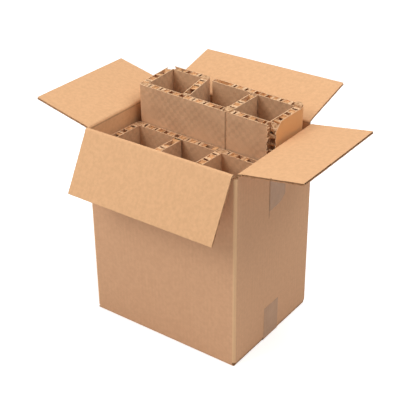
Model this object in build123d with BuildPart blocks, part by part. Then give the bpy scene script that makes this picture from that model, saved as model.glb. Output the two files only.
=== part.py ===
from build123d import *

import os
from math import cos, floor, radians, sin, sqrt

os.makedirs("parts", exist_ok=True)

# Bottle shipping box: a slotted corrugated carton with six bottle cells in two honeycomb inserts.
# Millimetres. The origin is under the middle of the carton's floor, +X runs along the long side
# to the right, +Y to the rear and +Z up. The long flaps are at front and rear.

# ---- carton blank ----
carton_length = 320.0
carton_depth = 245.0
carton_height = 387.0  # floor to the fold of the long top flaps
board = 4.0  # corrugated board
liner = 0.6  # one flat sheet of the board, which is all that is left along a fold
corner_radius = 5.0  # outside of a vertical fold
bottom_radius = 3.5  # outside of a bottom fold
fold_clearance = 0.3  # under a closed flap
floor_inset = 4.5  # long bottom flaps, short of the side walls' outside
floor_seam = 1.5  # gap where the long bottom flaps meet
short_flap_play = 1.0  # short bottom flaps, to the front and rear walls

# ---- top flaps ----
flap_length = 122.0
flap_root_gap = 1.2  # from the fold line to the full thickness of the flap
flap_root_radius = 2.5  # rounded inner edge along the fold
long_fold_height = carton_height
short_fold_height = carton_height - board  # the short flaps fold in under the long ones
nick_along = 62.0  # torn nick in the right flap's front end, from the fold
nick_width = 5.0
nick_depth = 3.0

# ---- glued joint at the rear right corner ----
tab_width = 34.0
tab_bevel = 9.0
tab_end_gap = 6.0  # tab, short of the wall's top and floor
joint_step = 1.5  # the side wall's cut edge stays this far inside the rear face
joint_groove = 2.8  # depth and width of the rounded groove beside that edge

# ---- tape and knife cut ----
tape = 0.2
tape_width = 47.0
tape_y = -3.0
tape_rise = 72.0  # how far the bottom tape climbs each side wall
tape_radius = 5.0
tape_play = 0.05
old_tape_left = -18.0
old_tape_right = 32.0
old_tape_bottom = 271.0
old_tape_torn = 7.0  # the torn end climbs by this much towards the rear
knife_cut_y = -18.8
knife_cut_width = 0.8
knife_cut_depth = 1.2
knife_cut_bottom = 263.0

# ---- honeycomb board ----
honeycomb = 14.5  # board thickness
facing = 0.9  # flat sheet on each side of the core
cell_side = 8.3
cell_wall = 0.5
cell_rise = sqrt(3) * cell_side  # from one cell to the one above it
cell_dip = 3.0  # the board's cut edge runs this far above the middle of a cell

# ---- pad and inserts ----
pad_thickness = 15.0
pad_play = 4.5  # to the carton wall, each side
insert_length = 294.0
insert_depth = 108.0
insert_height = 331.0
rear_insert_raised = 74.0
soft_corner_radius = 9.0  # folds with the core crushed inside
wide_corner_radius = 14.0
strip_play = 0.5  # between the two strips where they meet
tongue_length = 4.5  # free end of the long panel over the wide fold
divider_gap = 2.5  # a divider's loose end, short of the panel that it meets

floor_top = 2 * board
pad_top = floor_top + pad_thickness
long_wall_top = long_fold_height - board - fold_clearance
short_wall_top = short_fold_height - board - fold_clearance
inner_length = carton_length - 2 * board
inner_depth = carton_depth - 2 * board
long_flap_end = carton_length / 2 - floor_inset


# ---------------------------------------------------------------- tape
# The bottom tape lies pressed into the floor flaps, so that its underside is level with them.
with BuildPart() as bottom_tape:
    with BuildSketch(Plane.XZ.offset(-tape_y)):
        with BuildLine():
            FilletPolyline(
                (-carton_length / 2 - tape / 2, tape_rise),
                (-carton_length / 2 - tape / 2, tape / 2),
                (carton_length / 2 + tape / 2, tape / 2),
                (carton_length / 2 + tape / 2, tape_rise),
                radius=tape_radius,
            )
        trace(line_width=tape)
    extrude(amount=tape_width / 2, both=True)
bottom_tape.part.label = "bottom_tape"

# What is left of the top tape, on the right wall under the fold. Its lower end is torn.
with BuildPart() as old_tape:
    with BuildSketch(Plane.YZ.offset(carton_length / 2)):
        with BuildLine():
            Polyline(
                (old_tape_left, short_wall_top),
                (old_tape_left, old_tape_bottom),
                (old_tape_right - 2 * old_tape_torn, old_tape_bottom + old_tape_torn / 2),
                (old_tape_right, old_tape_bottom + 2 * old_tape_torn),
                (old_tape_right, short_wall_top),
                close=True,
            )
        make_face()
    extrude(amount=tape)
old_tape.part.label = "old_tape"


# ---------------------------------------------------------------- carton
with BuildPart() as carton_body:
    # Four walls in one ring. The rear right corner is glued, the other three are folds.
    with BuildSketch() as ring:
        Rectangle(carton_length, carton_depth)
        folds = ring.vertices().sort_by(lambda v: v.X + v.Y)[:3]
        fillet(folds, corner_radius)
        Rectangle(inner_length, inner_depth, mode=Mode.SUBTRACT)
    extrude(amount=long_wall_top)

    # The rear wall turns in behind the right wall, whose cut edge shows.
    edge_x = inner_length / 2
    rear_y = carton_depth / 2
    with BuildSketch():
        with BuildLine():
            Polyline(
                (edge_x - joint_groove, rear_y),
                (edge_x + board, rear_y),
                (edge_x + board, rear_y - joint_step),
                (edge_x, rear_y - joint_step),
                (edge_x, rear_y - joint_groove),
            )
            RadiusArc((edge_x, rear_y - joint_groove), (edge_x - joint_groove, rear_y), -joint_groove)
        make_face()
    extrude(amount=carton_height, mode=Mode.SUBTRACT)

    # Slots at the corners: the short flaps start one board inside the long ones.
    with BuildSketch(Plane.XY.offset(short_wall_top)):
        with Locations((-carton_length / 2, 0), (carton_length / 2, 0)):
            Rectangle(2 * board, carton_depth)
    extrude(amount=carton_height - short_wall_top, mode=Mode.SUBTRACT)
    with BuildSketch():
        with Locations((-carton_length / 2, 0), (carton_length / 2, 0)):
            Rectangle(2 * floor_inset, carton_depth)
    extrude(amount=board, mode=Mode.SUBTRACT)

    # Long bottom flaps, meeting at the middle seam.
    with BuildSketch() as long_floor:
        Rectangle(2 * long_flap_end, carton_depth)
        Rectangle(2 * long_flap_end, floor_seam, mode=Mode.SUBTRACT)
    extrude(amount=board)

    # Short bottom flaps on top of them, with a bare stretch between.
    short_flap_y = inner_depth / 2 - short_flap_play
    short_flap_x = carton_length / 2 - flap_length / 2
    with BuildSketch(Plane.XY.offset(board)):
        with Locations((-short_flap_x, 0), (short_flap_x, 0)):
            Rectangle(flap_length, 2 * short_flap_y)
    extrude(amount=board)

    # Rounded bottom folds.
    long_bottom_edges = (
        carton_body.edges()
        .filter_by(Axis.X)
        .filter_by_position(Axis.Z, -0.01, 0.01)
        .filter_by(lambda e: abs(e.center().Y) > carton_depth / 2 - 0.01)
    )
    fillet(long_bottom_edges, bottom_radius)
    short_bottom_edges = (
        carton_body.edges()
        .filter_by(Axis.Y)
        .filter_by_position(Axis.Z, board - 0.01, board + 0.01)
        .filter_by(lambda e: abs(e.center().X) > carton_length / 2 - 0.01)
    )
    fillet(short_bottom_edges, bottom_radius)

    # Glue tab inside the right wall, with bevelled ends.
    with BuildSketch(Plane.YZ.offset(inner_length / 2 - board)):
        with BuildLine():
            Polyline(
                (inner_depth / 2, floor_top + tab_end_gap),
                (inner_depth / 2 - tab_width, floor_top + tab_end_gap + tab_bevel),
                (inner_depth / 2 - tab_width, short_wall_top - tab_end_gap - tab_bevel),
                (inner_depth / 2, short_wall_top - tab_end_gap),
                close=True,
            )
        make_face()
    extrude(amount=board)

    # Along each top fold the board is crushed to its outer sheet, which stands up as a lip.
    lip_x = carton_length / 2 - liner / 2
    lip_y = carton_depth / 2 - liner / 2
    with BuildSketch(Plane.XY.offset(short_wall_top - liner)):
        with Locations((-lip_x, 0), (lip_x, 0)):
            Rectangle(liner, inner_depth)
    extrude(amount=short_fold_height - short_wall_top)
    with BuildSketch(Plane.XY.offset(long_wall_top - liner)):
        with Locations((0, -lip_y), (0, lip_y)):
            Rectangle(2 * long_flap_end, liner)
    extrude(amount=long_fold_height - long_wall_top)

    # The floor flaps give way to the tape by its own thickness.
    with BuildSketch():
        with Locations((0, tape_y)):
            Rectangle(carton_length, tape_width + 2 * tape_play)
    extrude(amount=tape + tape_play, mode=Mode.SUBTRACT)

    # A straight knife cut beside the old tape.
    cut_height = short_wall_top - knife_cut_bottom
    with BuildSketch(Plane.YZ.offset(carton_length / 2)):
        with Locations((knife_cut_y, knife_cut_bottom + cut_height / 2)):
            Rectangle(knife_cut_width, cut_height)
    extrude(amount=-knife_cut_depth, mode=Mode.SUBTRACT)
carton_body.part.label = "carton_body"


# ---------------------------------------------------------------- top flaps
def flap_plane(fold_point, outward, tilt):
    """Plane on a flap's outer face: X along the fold, Y from the fold to the free edge, Z inwards.

    tilt is counted from upright, outwards.
    """
    lean = radians(tilt)
    along = outward * sin(lean) + Vector(0, 0, cos(lean))
    inward = outward * -cos(lean) + Vector(0, 0, sin(lean))
    return Plane(origin=fold_point, x_dir=along.cross(inward), z_dir=inward)


# name: (outward direction, fold point, half width, tilt from upright)
long_y = carton_depth / 2
short_x = carton_length / 2
flaps = {
    "front_flap": (Vector(0, -1, 0), (0, -long_y, long_fold_height), short_x - 4.6, 151.4),
    "rear_flap": (Vector(0, 1, 0), (0, long_y, long_fold_height), short_x - 6.0, 75.3),
    "left_flap": (Vector(-1, 0, 0), (-short_x, 0, short_fold_height), long_y - 4.0, 77.3),
    "right_flap": (Vector(1, 0, 0), (short_x, 0, short_fold_height), long_y - 7.0, 81.1),
}
for name, (outward, fold_point, half_width, tilt) in flaps.items():
    plane = flap_plane(fold_point, outward, tilt)
    with BuildPart() as flap:
        with BuildSketch(plane):
            with Locations((0, (flap_root_gap + flap_length) / 2)):
                Rectangle(2 * half_width, flap_length - flap_root_gap)
            if name == "right_flap":
                front_end = half_width if plane.x_dir.Y < 0 else -half_width
                with BuildLine():
                    Polyline(
                        (front_end, nick_along - nick_width / 2),
                        (front_end - nick_depth * (1 if front_end > 0 else -1), nick_along),
                        (front_end, nick_along + nick_width / 2),
                        close=True,
                    )
                make_face(mode=Mode.SUBTRACT)
        extrude(amount=board)
        root_edges = flap.edges().filter_by(lambda e: e.length > 2 * half_width - 0.01)
        inner_root = root_edges.sort_by(
            lambda e: plane.to_local_coords(e.center()).Y - plane.to_local_coords(e.center()).Z
        )[0]
        fillet(inner_root, flap_root_radius)
    flap.part.label = name
    export_step(flap.part, f"parts/{name}.step")


# ---------------------------------------------------------------- bottom pad
# A loose sheet of the same board under the bottles.
with BuildPart() as bottom_pad:
    with BuildSketch(Plane.XY.offset(floor_top)):
        Rectangle(inner_length - 2 * pad_play, inner_depth - 2 * pad_play)
    extrude(amount=pad_thickness)
bottom_pad.part.label = "bottom_pad"


# ---------------------------------------------------------------- inserts
# An insert is two folded strips of honeycomb board. Seen from above, the left strip is a long
# panel, the left wall, a short panel and a divider. The right strip is a long panel, the right
# wall, a short panel and the other divider. Both run clockwise, so their outside is on the left.
core_half = honeycomb / 2 - facing
column_step = 1.5 * cell_side
closed_margin = cell_side + 1.0  # core left whole beside a fold
least_pocket = 1.5  # shallower pockets are left out


def mitred_sides(route):
    """Outer and inner corner points of a board that follows a route down its middle."""
    points = [Vector(*p) for p in route]
    outer, inner = [], []
    for i, point in enumerate(points):
        before = points[max(i, 1)] - points[max(i, 1) - 1]
        after = points[min(i + 1, len(points) - 1)] - points[min(i, len(points) - 2)]
        before, after = before.normalized(), after.normalized()
        mitre = Vector(-before.Y - after.Y, before.X + after.X).normalized()
        reach = honeycomb / 2 / mitre.dot(Vector(-before.Y, before.X))
        outer.append(point + mitre * reach)
        inner.append(point - mitre * reach)
    return outer, inner


def opened_corner(route, corner):
    """The square notch that opens where the outer facing and the core are cut for a fold."""
    outer, inner = mitred_sides(route)
    root = inner[corner] + (outer[corner] - inner[corner]).normalized() * sqrt(2) * facing
    arms = []
    for near in (corner - 1, corner + 1):
        back = Vector(*route[near]) - Vector(*route[corner])
        side = back.rotate(Axis.Z, -90 if near < corner else 90).normalized()
        arms.append(root + side * 2 * honeycomb)
    return [root, arms[0], arms[0] + arms[1] - root, arms[1]]


def cut_cells(length, opened):
    """Middles of the core cells that a panel's cut edges open, X along the panel and Y up.

    opened is None, "start" or "end", for the end of the panel that shows its core too.
    """
    room = length - closed_margin - (cell_dip if opened else closed_margin)
    columns = floor(room / column_step) + 1
    slack = 0 if opened else (room - column_step * (columns - 1)) / 2
    first = (cell_dip if opened else closed_margin) + slack
    cells = []
    for k in range(columns):
        x = first + column_step * k
        x = length - x if opened == "end" else x
        z = insert_height - cell_dip + cell_rise / 2 * (k % 2)
        while z + cell_rise / 2 > least_pocket:
            on_edge = z + cell_rise / 2 > insert_height or z < cell_rise / 2
            if on_edge or (opened and k == 0):
                cells.append((x, z))
            z -= cell_rise
    return cells


def panel_plane(frame, bottom, start, end):
    """Upright plane in the middle of a panel, X along it and Y up from its bottom edge."""
    low = frame.from_local_coords(Vector(*start))
    along = (frame.from_local_coords(Vector(*end)) - low).normalized()
    return Plane(
        origin=(low.X, low.Y, bottom), x_dir=along, z_dir=along.cross(Vector(0, 0, 1))
    )


half_length = insert_length / 2
half_depth = insert_depth / 2
middle = honeycomb / 2

# Per insert: where it stands, which way up it is, how far its left wall leans out at the short
# panel, the dividers' middles, and the end of the right strip's long panel.
inserts = {
    "rear": {
        "place": (2.5, 59.6),
        "turn": -1.43,
        "bottom": pad_top + rear_insert_raised,
        "upside_down": False,
        "splay": 8.0,
        "left_divider": (-66.5, -48.0),
        "right_divider": (49.5, 48.0),
        "long_end": -47.0,
    },
    "front": {
        "place": (-1.5, -51.4),
        "turn": -2.2,
        "bottom": pad_top,
        "upside_down": True,
        "splay": 0.0,
        "left_divider": (-40.0, -39.0),
        "right_divider": (50.0, 50.0),
        "long_end": -32.0,
    },
}


def insert_frame(insert):
    """Plane of an insert's plan. Upside down, it is at the top edge and looks down."""
    turn = radians(insert["turn"])
    level = insert["bottom"] + (insert_height if insert["upside_down"] else 0)
    return Plane(
        origin=(*insert["place"], level),
        x_dir=(cos(turn), sin(turn), 0),
        z_dir=(0, 0, -1 if insert["upside_down"] else 1),
    )


for row, insert in inserts.items():
    frame = insert_frame(insert)
    left_root, left_tip = insert["left_divider"]
    right_root, right_tip = insert["right_divider"]
    tip_y = honeycomb + divider_gap - half_depth
    wide_fold = (right_root - middle + wide_corner_radius, wide_corner_radius - half_depth)
    tongue_x = wide_fold[0] - tongue_length
    left_x = middle - half_length
    side_y = half_depth - middle
    routes = {
        "left": [
            (tongue_x, -side_y),
            (left_x, -side_y),
            (left_x - insert["splay"], side_y),
            (left_root, side_y),
            (left_tip, tip_y),
        ],
        "right": [
            (insert["long_end"], side_y),
            (-left_x, side_y),
            (-left_x, -side_y),
            (right_root, -side_y),
            (right_tip, -tip_y),
        ],
    }
    # The first and last folds are rounded outside. The one between them is cut open.
    rounded = {"left": soft_corner_radius, "right": wide_corner_radius}
    for side, route in routes.items():
        name = f"{row}_insert_{side}_strip"
        outer, inner = mitred_sides(route)
        with BuildPart() as strip:
            with BuildSketch(frame) as plan:
                with BuildLine():
                    Polyline(*outer, *reversed(inner), close=True)
                make_face()
                for corner in (1, 3):
                    fillet(plan.vertices().sort_by_distance(outer[corner])[0], rounded[side])
                with BuildLine():
                    Polyline(*opened_corner(route, 2), close=True)
                make_face(mode=Mode.SUBTRACT)
                if side == "left":
                    with Locations(wide_fold):
                        Circle(wide_corner_radius + strip_play, mode=Mode.SUBTRACT)
            extrude(amount=insert_height)
            for i, (start, end) in enumerate(zip(route, route[1:])):
                start_gap = 0 if i == 0 else middle
                end_gap = 0 if i == 3 else middle
                run = Vector(*end) - Vector(*start)
                near = Vector(*start) + run.normalized() * start_gap
                far = Vector(*end) - run.normalized() * end_gap
                opened = {1: "end", 2: "start", 3: "end"}.get(i)
                plane = panel_plane(frame, insert["bottom"], near, far)
                with BuildSketch(plane):
                    with Locations(*cut_cells((far - near).length, opened)):
                        RegularPolygon(cell_side - cell_wall, 6)
                extrude(amount=core_half, both=True, mode=Mode.SUBTRACT)
        strip.part.label = name
        export_step(strip.part, f"parts/{name}.step")

for piece in (carton_body, bottom_tape, old_tape, bottom_pad):
    export_step(piece.part, f"parts/{piece.part.label}.step")
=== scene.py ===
from math import cos, floor, pi, radians, sin, sqrt, tan

import bmesh
import bpy
import numpy as np
from mathutils import Matrix, Vector, noise


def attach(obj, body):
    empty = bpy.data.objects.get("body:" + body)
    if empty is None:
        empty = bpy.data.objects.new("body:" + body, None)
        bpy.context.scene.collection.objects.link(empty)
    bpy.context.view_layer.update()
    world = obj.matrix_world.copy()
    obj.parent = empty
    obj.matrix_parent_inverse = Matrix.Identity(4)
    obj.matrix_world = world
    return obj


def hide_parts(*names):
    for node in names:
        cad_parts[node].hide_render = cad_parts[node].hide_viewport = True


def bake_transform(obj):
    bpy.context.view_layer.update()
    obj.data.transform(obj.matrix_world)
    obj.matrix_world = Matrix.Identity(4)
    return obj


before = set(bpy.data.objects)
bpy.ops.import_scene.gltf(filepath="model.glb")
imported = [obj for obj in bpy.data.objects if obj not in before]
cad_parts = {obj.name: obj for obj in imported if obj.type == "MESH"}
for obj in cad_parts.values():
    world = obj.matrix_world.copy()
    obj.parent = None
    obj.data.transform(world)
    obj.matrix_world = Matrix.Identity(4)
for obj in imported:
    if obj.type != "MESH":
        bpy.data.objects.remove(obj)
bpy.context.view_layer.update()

# Bottle shipping box: a slotted corrugated carton, its taped floor and two honeycomb inserts.
# Metres. +X runs to the right along the carton, +Y to the rear and +Z up.
MM = 0.001

# ---- carton ----
LENGTH, DEPTH, HEIGHT = 320 * MM, 245 * MM, 387 * MM
BOARD = 4 * MM
SHEET = 0.5 * MM  # one flat paper sheet of the corrugated board
FLUTE_PITCH = 7.8 * MM
CORNER_RADIUS = 5 * MM
BOTTOM_RADIUS = 3.5 * MM
SHORT_FOLD = HEIGHT - BOARD  # the short flaps fold one board lower than the long ones
WALL_TOP_GAP = 4.3 * MM  # from a fold down to the full thickness of the wall
FLOOR_SEAM = 1.5 * MM
FLAP = 122 * MM
FLAP_ROOT = 3.7 * MM
CREASE = 6 * MM  # how far the crushed fold reaches along the wall and the flap
STEP = 3 * MM  # spacing of the points along a sheet of paper

# ---- tape ----
TAPE = 0.2 * MM
TAPE_WIDTH, TAPE_Y, TAPE_RISE, TAPE_RADIUS = 47 * MM, -3 * MM, 72 * MM, 2.5 * MM
OLD_TAPE_LEFT, OLD_TAPE_RIGHT = -18 * MM, 32 * MM
OLD_TAPE_BOTTOM, OLD_TAPE_TORN = 271 * MM, 7 * MM
KNIFE_Y, KNIFE_WIDTH, KNIFE_DEPTH, KNIFE_BOTTOM = -18.8 * MM, 1.0 * MM, 2.2 * MM, 263 * MM

# ---- honeycomb board ----
HONEYCOMB = 14.5 * MM
FACING = 0.9 * MM
CELL = 8.3 * MM  # side of a core cell
CELL_RISE = sqrt(3) * CELL
CELL_DIP = 3 * MM  # a cut edge runs this far above the middle of the cells it opens
CORE_PAPER = 0.75 * MM
INSERT_HEIGHT = 331 * MM
SOFT_FOLD, WIDE_FOLD = 9 * MM, 14 * MM
PAD_TOP = 23 * MM
RAISED = 74 * MM


def ripple(point, size, seed=0.0):
    """Smooth unevenness from -1 to 1, with bumps of about the given size."""
    return noise.noise(Vector(point) / size + Vector((seed, 1.7 * seed, 2.3 * seed)))


def spread(start, end, step):
    """Evenly spaced places from start to end, about a step apart."""
    return np.linspace(start, end, max(2, round(abs(end - start) / step) + 1))


# ------------------------------------------------------------ mesh building
def sheet_part(front, back, uv, slots, edge, tone=0.0, ring=False):
    """A closed sheet between two grids of points, in rows and columns.

    slots are the material numbers of its two faces and of its cut edges. edge is 1 along a cut
    edge and negative where shade is painted. A ring joins its last column to its first.
    """
    rows, columns = front.shape[:2]
    verts = np.concatenate([front.reshape(-1, 3), back.reshape(-1, 3)])
    number = np.arange(rows * columns).reshape(rows, columns)
    wrapped = np.concatenate([number, number[:, :1]], axis=1) if ring else number
    quads = np.stack(
        [wrapped[:-1, :-1], wrapped[:-1, 1:], wrapped[1:, 1:], wrapped[1:, :-1]], axis=-1
    ).reshape(-1, 4)
    behind = rows * columns
    rim = [wrapped[0], wrapped[-1]] if ring else [wrapped[0], wrapped[-1], number[:, 0], number[:, -1]]
    faces = [quads, quads[:, ::-1] + behind]
    kinds = [np.full(len(quads), slots[0]), np.full(len(quads), slots[1])]
    for line in rim:
        side = np.stack([line[:-1], line[1:], line[1:] + behind, line[:-1] + behind], axis=-1)
        faces.append(side)
        kinds.append(np.full(len(side), slots[2]))
    both = np.concatenate([uv.reshape(-1, 2)] * 2)
    rimmed = np.concatenate([edge.reshape(-1)] * 2)
    return verts, np.concatenate(faces).tolist(), np.concatenate(kinds), both, rimmed, tone


def block_part(outline, low, high, slot, tone=0.0):
    """A closed upright block on an outline, with heights low and high for each corner."""
    count = len(outline)
    verts = [(*point, z) for point, z in zip(outline, low)]
    verts += [(*point, z) for point, z in zip(outline, high)]
    faces = [[*range(count)][::-1], [*range(count, 2 * count)]]
    faces += [[i, (i + 1) % count, (i + 1) % count + count, i + count] for i in range(count)]
    verts = np.array(verts)
    return verts, faces, np.full(len(faces), slot), verts[:, :2], np.zeros(len(verts)), tone


def mesh_part(mesh, place, slot, tone=0.0):
    """A finished mesh, moved to its place, as a part of a piece."""
    mesh.transform(place)
    verts = np.array([v.co for v in mesh.vertices])
    faces = [list(face.vertices) for face in mesh.polygons]
    bpy.data.meshes.remove(mesh)
    return verts, faces, np.full(len(faces), slot), verts[:, :2], np.zeros(len(verts)), tone


def make_piece(name, parts, materials, body, replaces=(), smooth=True):
    """Joins closed parts into one piece, which rides on a body when a body is named."""
    verts, faces, kinds, uvs, edges, tones = [], [], [], [], [], []
    base = 0
    for part_verts, part_faces, part_kinds, uv, edge, tone in parts:
        verts.append(part_verts)
        faces += [[i + base for i in face] for face in part_faces]
        kinds.append(part_kinds)
        uvs.append(uv)
        edges.append(edge)
        tones.append(np.broadcast_to(tone, len(part_verts)))
        base += len(part_verts)
    mesh = bpy.data.meshes.new(name)
    mesh.from_pydata(np.concatenate(verts).tolist(), [], faces)
    mesh.polygons.foreach_set("material_index", np.concatenate(kinds).astype(np.int32))
    corner_vertex = np.empty(len(mesh.loops), np.int32)
    mesh.loops.foreach_get("vertex_index", corner_vertex)
    board_map = mesh.uv_layers.new(name="board")
    board_map.data.foreach_set("uv", np.concatenate(uvs)[corner_vertex].astype(np.float32).ravel())
    for label, values in (("edge", edges), ("tone", tones)):
        layer = mesh.attributes.new(label, "FLOAT", "POINT")
        layer.data.foreach_set("value", np.concatenate(values).astype(np.float32))
    outward = bmesh.new()
    outward.from_mesh(mesh)
    bmesh.ops.recalc_face_normals(outward, faces=outward.faces)
    outward.to_mesh(mesh)
    outward.free()
    for material in materials:
        mesh.materials.append(material)
    if smooth:
        mesh.shade_smooth()
        mesh.set_sharp_from_angle(angle=radians(38))
    piece = bpy.data.objects.new(name, mesh)
    bpy.context.scene.collection.objects.link(piece)
    if isinstance(body, str):
        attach(piece, body)
    if replaces:
        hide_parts(*replaces)
    return piece


# ------------------------------------------------------------ geometry trees
def new_tree(name, inputs):
    """An empty geometry tree with named inputs, after its geometry input."""
    tree = bpy.data.node_groups.new(name, "GeometryNodeTree")
    tree.interface.new_socket("Geometry", in_out="INPUT", socket_type="NodeSocketGeometry")
    for label, kind in inputs.items():
        tree.interface.new_socket(label, in_out="INPUT", socket_type=f"NodeSocket{kind}")
    tree.interface.new_socket("Geometry", in_out="OUTPUT", socket_type="NodeSocketGeometry")
    return tree, tree.nodes.new("NodeGroupInput").outputs, tree.nodes.new("NodeGroupOutput")


def add_node(tree, kind, settings=None, **sockets):
    """A node with its settings and its inputs, each a value or another node's output."""
    node = tree.nodes.new(kind)
    for label, value in (settings or {}).items():
        setattr(node, label, value)
    for label, value in sockets.items():
        label = label.replace("_", " ")
        socket = node.inputs[int(label[2:])] if label.startswith("n ") else node.inputs[label]
        if isinstance(value, bpy.types.NodeSocket):
            tree.links.new(value, socket)
        else:
            socket.default_value = value
    return node


def grow(tree, base, values):
    """Runs a geometry tree on a base mesh and returns the result as a plain mesh."""
    grower = bpy.data.objects.new("grower", base)
    bpy.context.scene.collection.objects.link(grower)
    modifier = grower.modifiers.new("grower", "NODES")
    modifier.node_group = tree
    names = {s.name: s.identifier for s in tree.interface.items_tree if s.in_out == "INPUT"}
    for label, value in values.items():
        modifier[names[label]] = value
    ready = grower.evaluated_get(bpy.context.evaluated_depsgraph_get())
    mesh = bpy.data.meshes.new_from_object(ready)
    grower.modifiers.clear()
    bpy.data.objects.remove(grower)
    return mesh


def thick_paper(tree, paper, thickness):
    """Gives thin paper its thickness: the paper turned over, and a raised copy with its sides."""
    raised = add_node(tree, "GeometryNodeExtrudeMesh", Mesh=paper, Offset_Scale=thickness)
    raised.inputs["Individual"].default_value = False
    under = add_node(tree, "GeometryNodeFlipFaces", Mesh=paper)
    both = tree.nodes.new("GeometryNodeJoinGeometry")
    tree.links.new(raised.outputs["Mesh"], both.inputs[0])
    tree.links.new(under.outputs["Mesh"], both.inputs[0])
    return add_node(
        tree, "GeometryNodeMergeByDistance", Geometry=both.outputs[0], Distance=1e-6
    ).outputs[0]


def finish_tree(tree, geometry, material, group_out):
    real = add_node(tree, "GeometryNodeRealizeInstances", Geometry=geometry)
    done = add_node(tree, "GeometryNodeSetMaterial", Geometry=real.outputs[0], Material=material)
    tree.links.new(done.outputs[0], group_out.inputs[0])


def flute_tree():
    """The wavy paper inside corrugated board, waves along X, standing on its middle."""
    tree, given, group_out = new_tree(
        "fluted_paper",
        {"Width": "Float", "Reach": "Float", "Pitch": "Float", "Rise": "Float",
         "Paper": "Float", "Points": "Int", "Finish": "Material"},
    )
    flat = add_node(
        tree, "GeometryNodeMeshGrid", Size_X=given["Width"], Size_Y=given["Reach"],
        Vertices_X=given["Points"], Vertices_Y=6,
    )
    place = add_node(tree, "GeometryNodeInputPosition").outputs[0]
    apart = add_node(tree, "ShaderNodeSeparateXYZ", Vector=place).outputs["X"]
    turns = add_node(tree, "ShaderNodeMath", {"operation": "DIVIDE"}, n_0=apart, n_1=given["Pitch"])
    angle = add_node(
        tree, "ShaderNodeMath", {"operation": "MULTIPLY"}, n_0=turns.outputs[0], n_1=2 * pi
    )
    wave = add_node(tree, "ShaderNodeMath", {"operation": "SINE"}, n_0=angle.outputs[0])
    lift = add_node(
        tree, "ShaderNodeMath", {"operation": "MULTIPLY"}, n_0=wave.outputs[0], n_1=given["Rise"]
    )
    lifted = add_node(tree, "ShaderNodeCombineXYZ", Z=lift.outputs[0])
    waved = add_node(
        tree, "GeometryNodeSetPosition", Geometry=flat.outputs["Mesh"], Offset=lifted.outputs[0]
    )
    paper = thick_paper(tree, waved.outputs[0], given["Paper"])
    finish_tree(tree, paper, given["Finish"], group_out)
    return tree


def core_tree():
    """Core cells of crushed and torn paper, one on each point, turned as the point says."""
    tree, given, group_out = new_tree(
        "core_cells",
        {"Cell": "Object", "Crush": "Float", "Skew": "Float", "Wobble": "Float",
         "Paper": "Float", "Seed": "Int", "Finish": "Material"},
    )
    cell = add_node(tree, "GeometryNodeObjectInfo", Object=given["Cell"])
    turn = add_node(tree, "GeometryNodeInputNamedAttribute", {"data_type": "FLOAT_VECTOR"}, Name="turn")
    crushed = []
    for sign in (-1, 1):
        share = add_node(
            tree, "ShaderNodeMath", {"operation": "MULTIPLY_ADD"}, n_0=given["Crush"], n_1=float(sign), n_2=1.0
        ).outputs[0]
        crushed.append(add_node(tree, "ShaderNodeCombineXYZ", X=share, Y=share, Z=1.0).outputs[0])
    size = add_node(tree, "FunctionNodeRandomValue", {"data_type": "FLOAT_VECTOR"}, Seed=given["Seed"])
    tree.links.new(crushed[0], size.inputs["Min"])
    tree.links.new(crushed[1], size.inputs["Max"])
    placed = add_node(
        tree, "GeometryNodeInstanceOnPoints", Points=given["Geometry"],
        Instance=cell.outputs["Geometry"], Rotation=turn.outputs[0], Scale=size.outputs[0],
    )
    least = add_node(tree, "ShaderNodeMath", {"operation": "MULTIPLY"}, n_0=given["Skew"], n_1=-1.0)
    skew = add_node(tree, "FunctionNodeRandomValue", {"data_type": "FLOAT"}, Seed=given["Seed"])
    floats = [s for s in skew.inputs if s.type == "VALUE" and s.name in ("Min", "Max") and s.enabled]
    tree.links.new(least.outputs[0], floats[0])
    tree.links.new(given["Skew"], floats[1])
    spin = add_node(tree, "ShaderNodeCombineXYZ")
    tree.links.new([s for s in skew.outputs if s.enabled][0], spin.inputs["Z"])
    skewed = add_node(
        tree, "GeometryNodeRotateInstances", Instances=placed.outputs[0], Rotation=spin.outputs[0]
    )
    loose = add_node(tree, "GeometryNodeRealizeInstances", Geometry=skewed.outputs[0])
    uneven = add_node(tree, "ShaderNodeTexNoise", Scale=90.0, Detail=1.0)
    tree.links.new(add_node(tree, "GeometryNodeInputPosition").outputs[0], uneven.inputs["Vector"])
    centred = add_node(
        tree, "ShaderNodeVectorMath", {"operation": "SUBTRACT"}, n_0=uneven.outputs["Color"], n_1=(0.5, 0.5, 0.5)
    )
    moved = add_node(tree, "ShaderNodeVectorMath", {"operation": "SCALE"}, n_0=centred.outputs[0])
    tree.links.new(given["Wobble"], moved.inputs["Scale"])
    bent = add_node(
        tree, "GeometryNodeSetPosition", Geometry=loose.outputs[0], Offset=moved.outputs[0]
    )
    paper = thick_paper(tree, bent.outputs[0], given["Paper"])
    finish_tree(tree, paper, given["Finish"], group_out)
    return tree


# ------------------------------------------------------------ finishes
def effect_group(name, inputs, outputs):
    """An empty shader group with named inputs and outputs."""
    tree = bpy.data.node_groups.new(name, "ShaderNodeTree")
    for label, (kind, value) in inputs.items():
        socket = tree.interface.new_socket(label, in_out="INPUT", socket_type=f"NodeSocket{kind}")
        socket.default_value = value
    for label in outputs:
        tree.interface.new_socket(label, in_out="OUTPUT", socket_type="NodeSocketFloat")
    return tree, tree.nodes.new("NodeGroupInput").outputs, tree.nodes.new("NodeGroupOutput").inputs


def math_node(tree, operation, *values):
    sockets = {f"n_{i}": value for i, value in enumerate(values)}
    return add_node(tree, "ShaderNodeMath", {"operation": operation}, **sockets).outputs[0]


def fade(tree, value, low, high):
    """0 where value is at low, 1 where it is at high."""
    node = add_node(tree, "ShaderNodeMapRange", {"interpolation_type": "SMOOTHSTEP"}, Value=value)
    node.inputs["From Min"].default_value = low
    node.inputs["From Max"].default_value = high
    return node.outputs["Result"]


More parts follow.
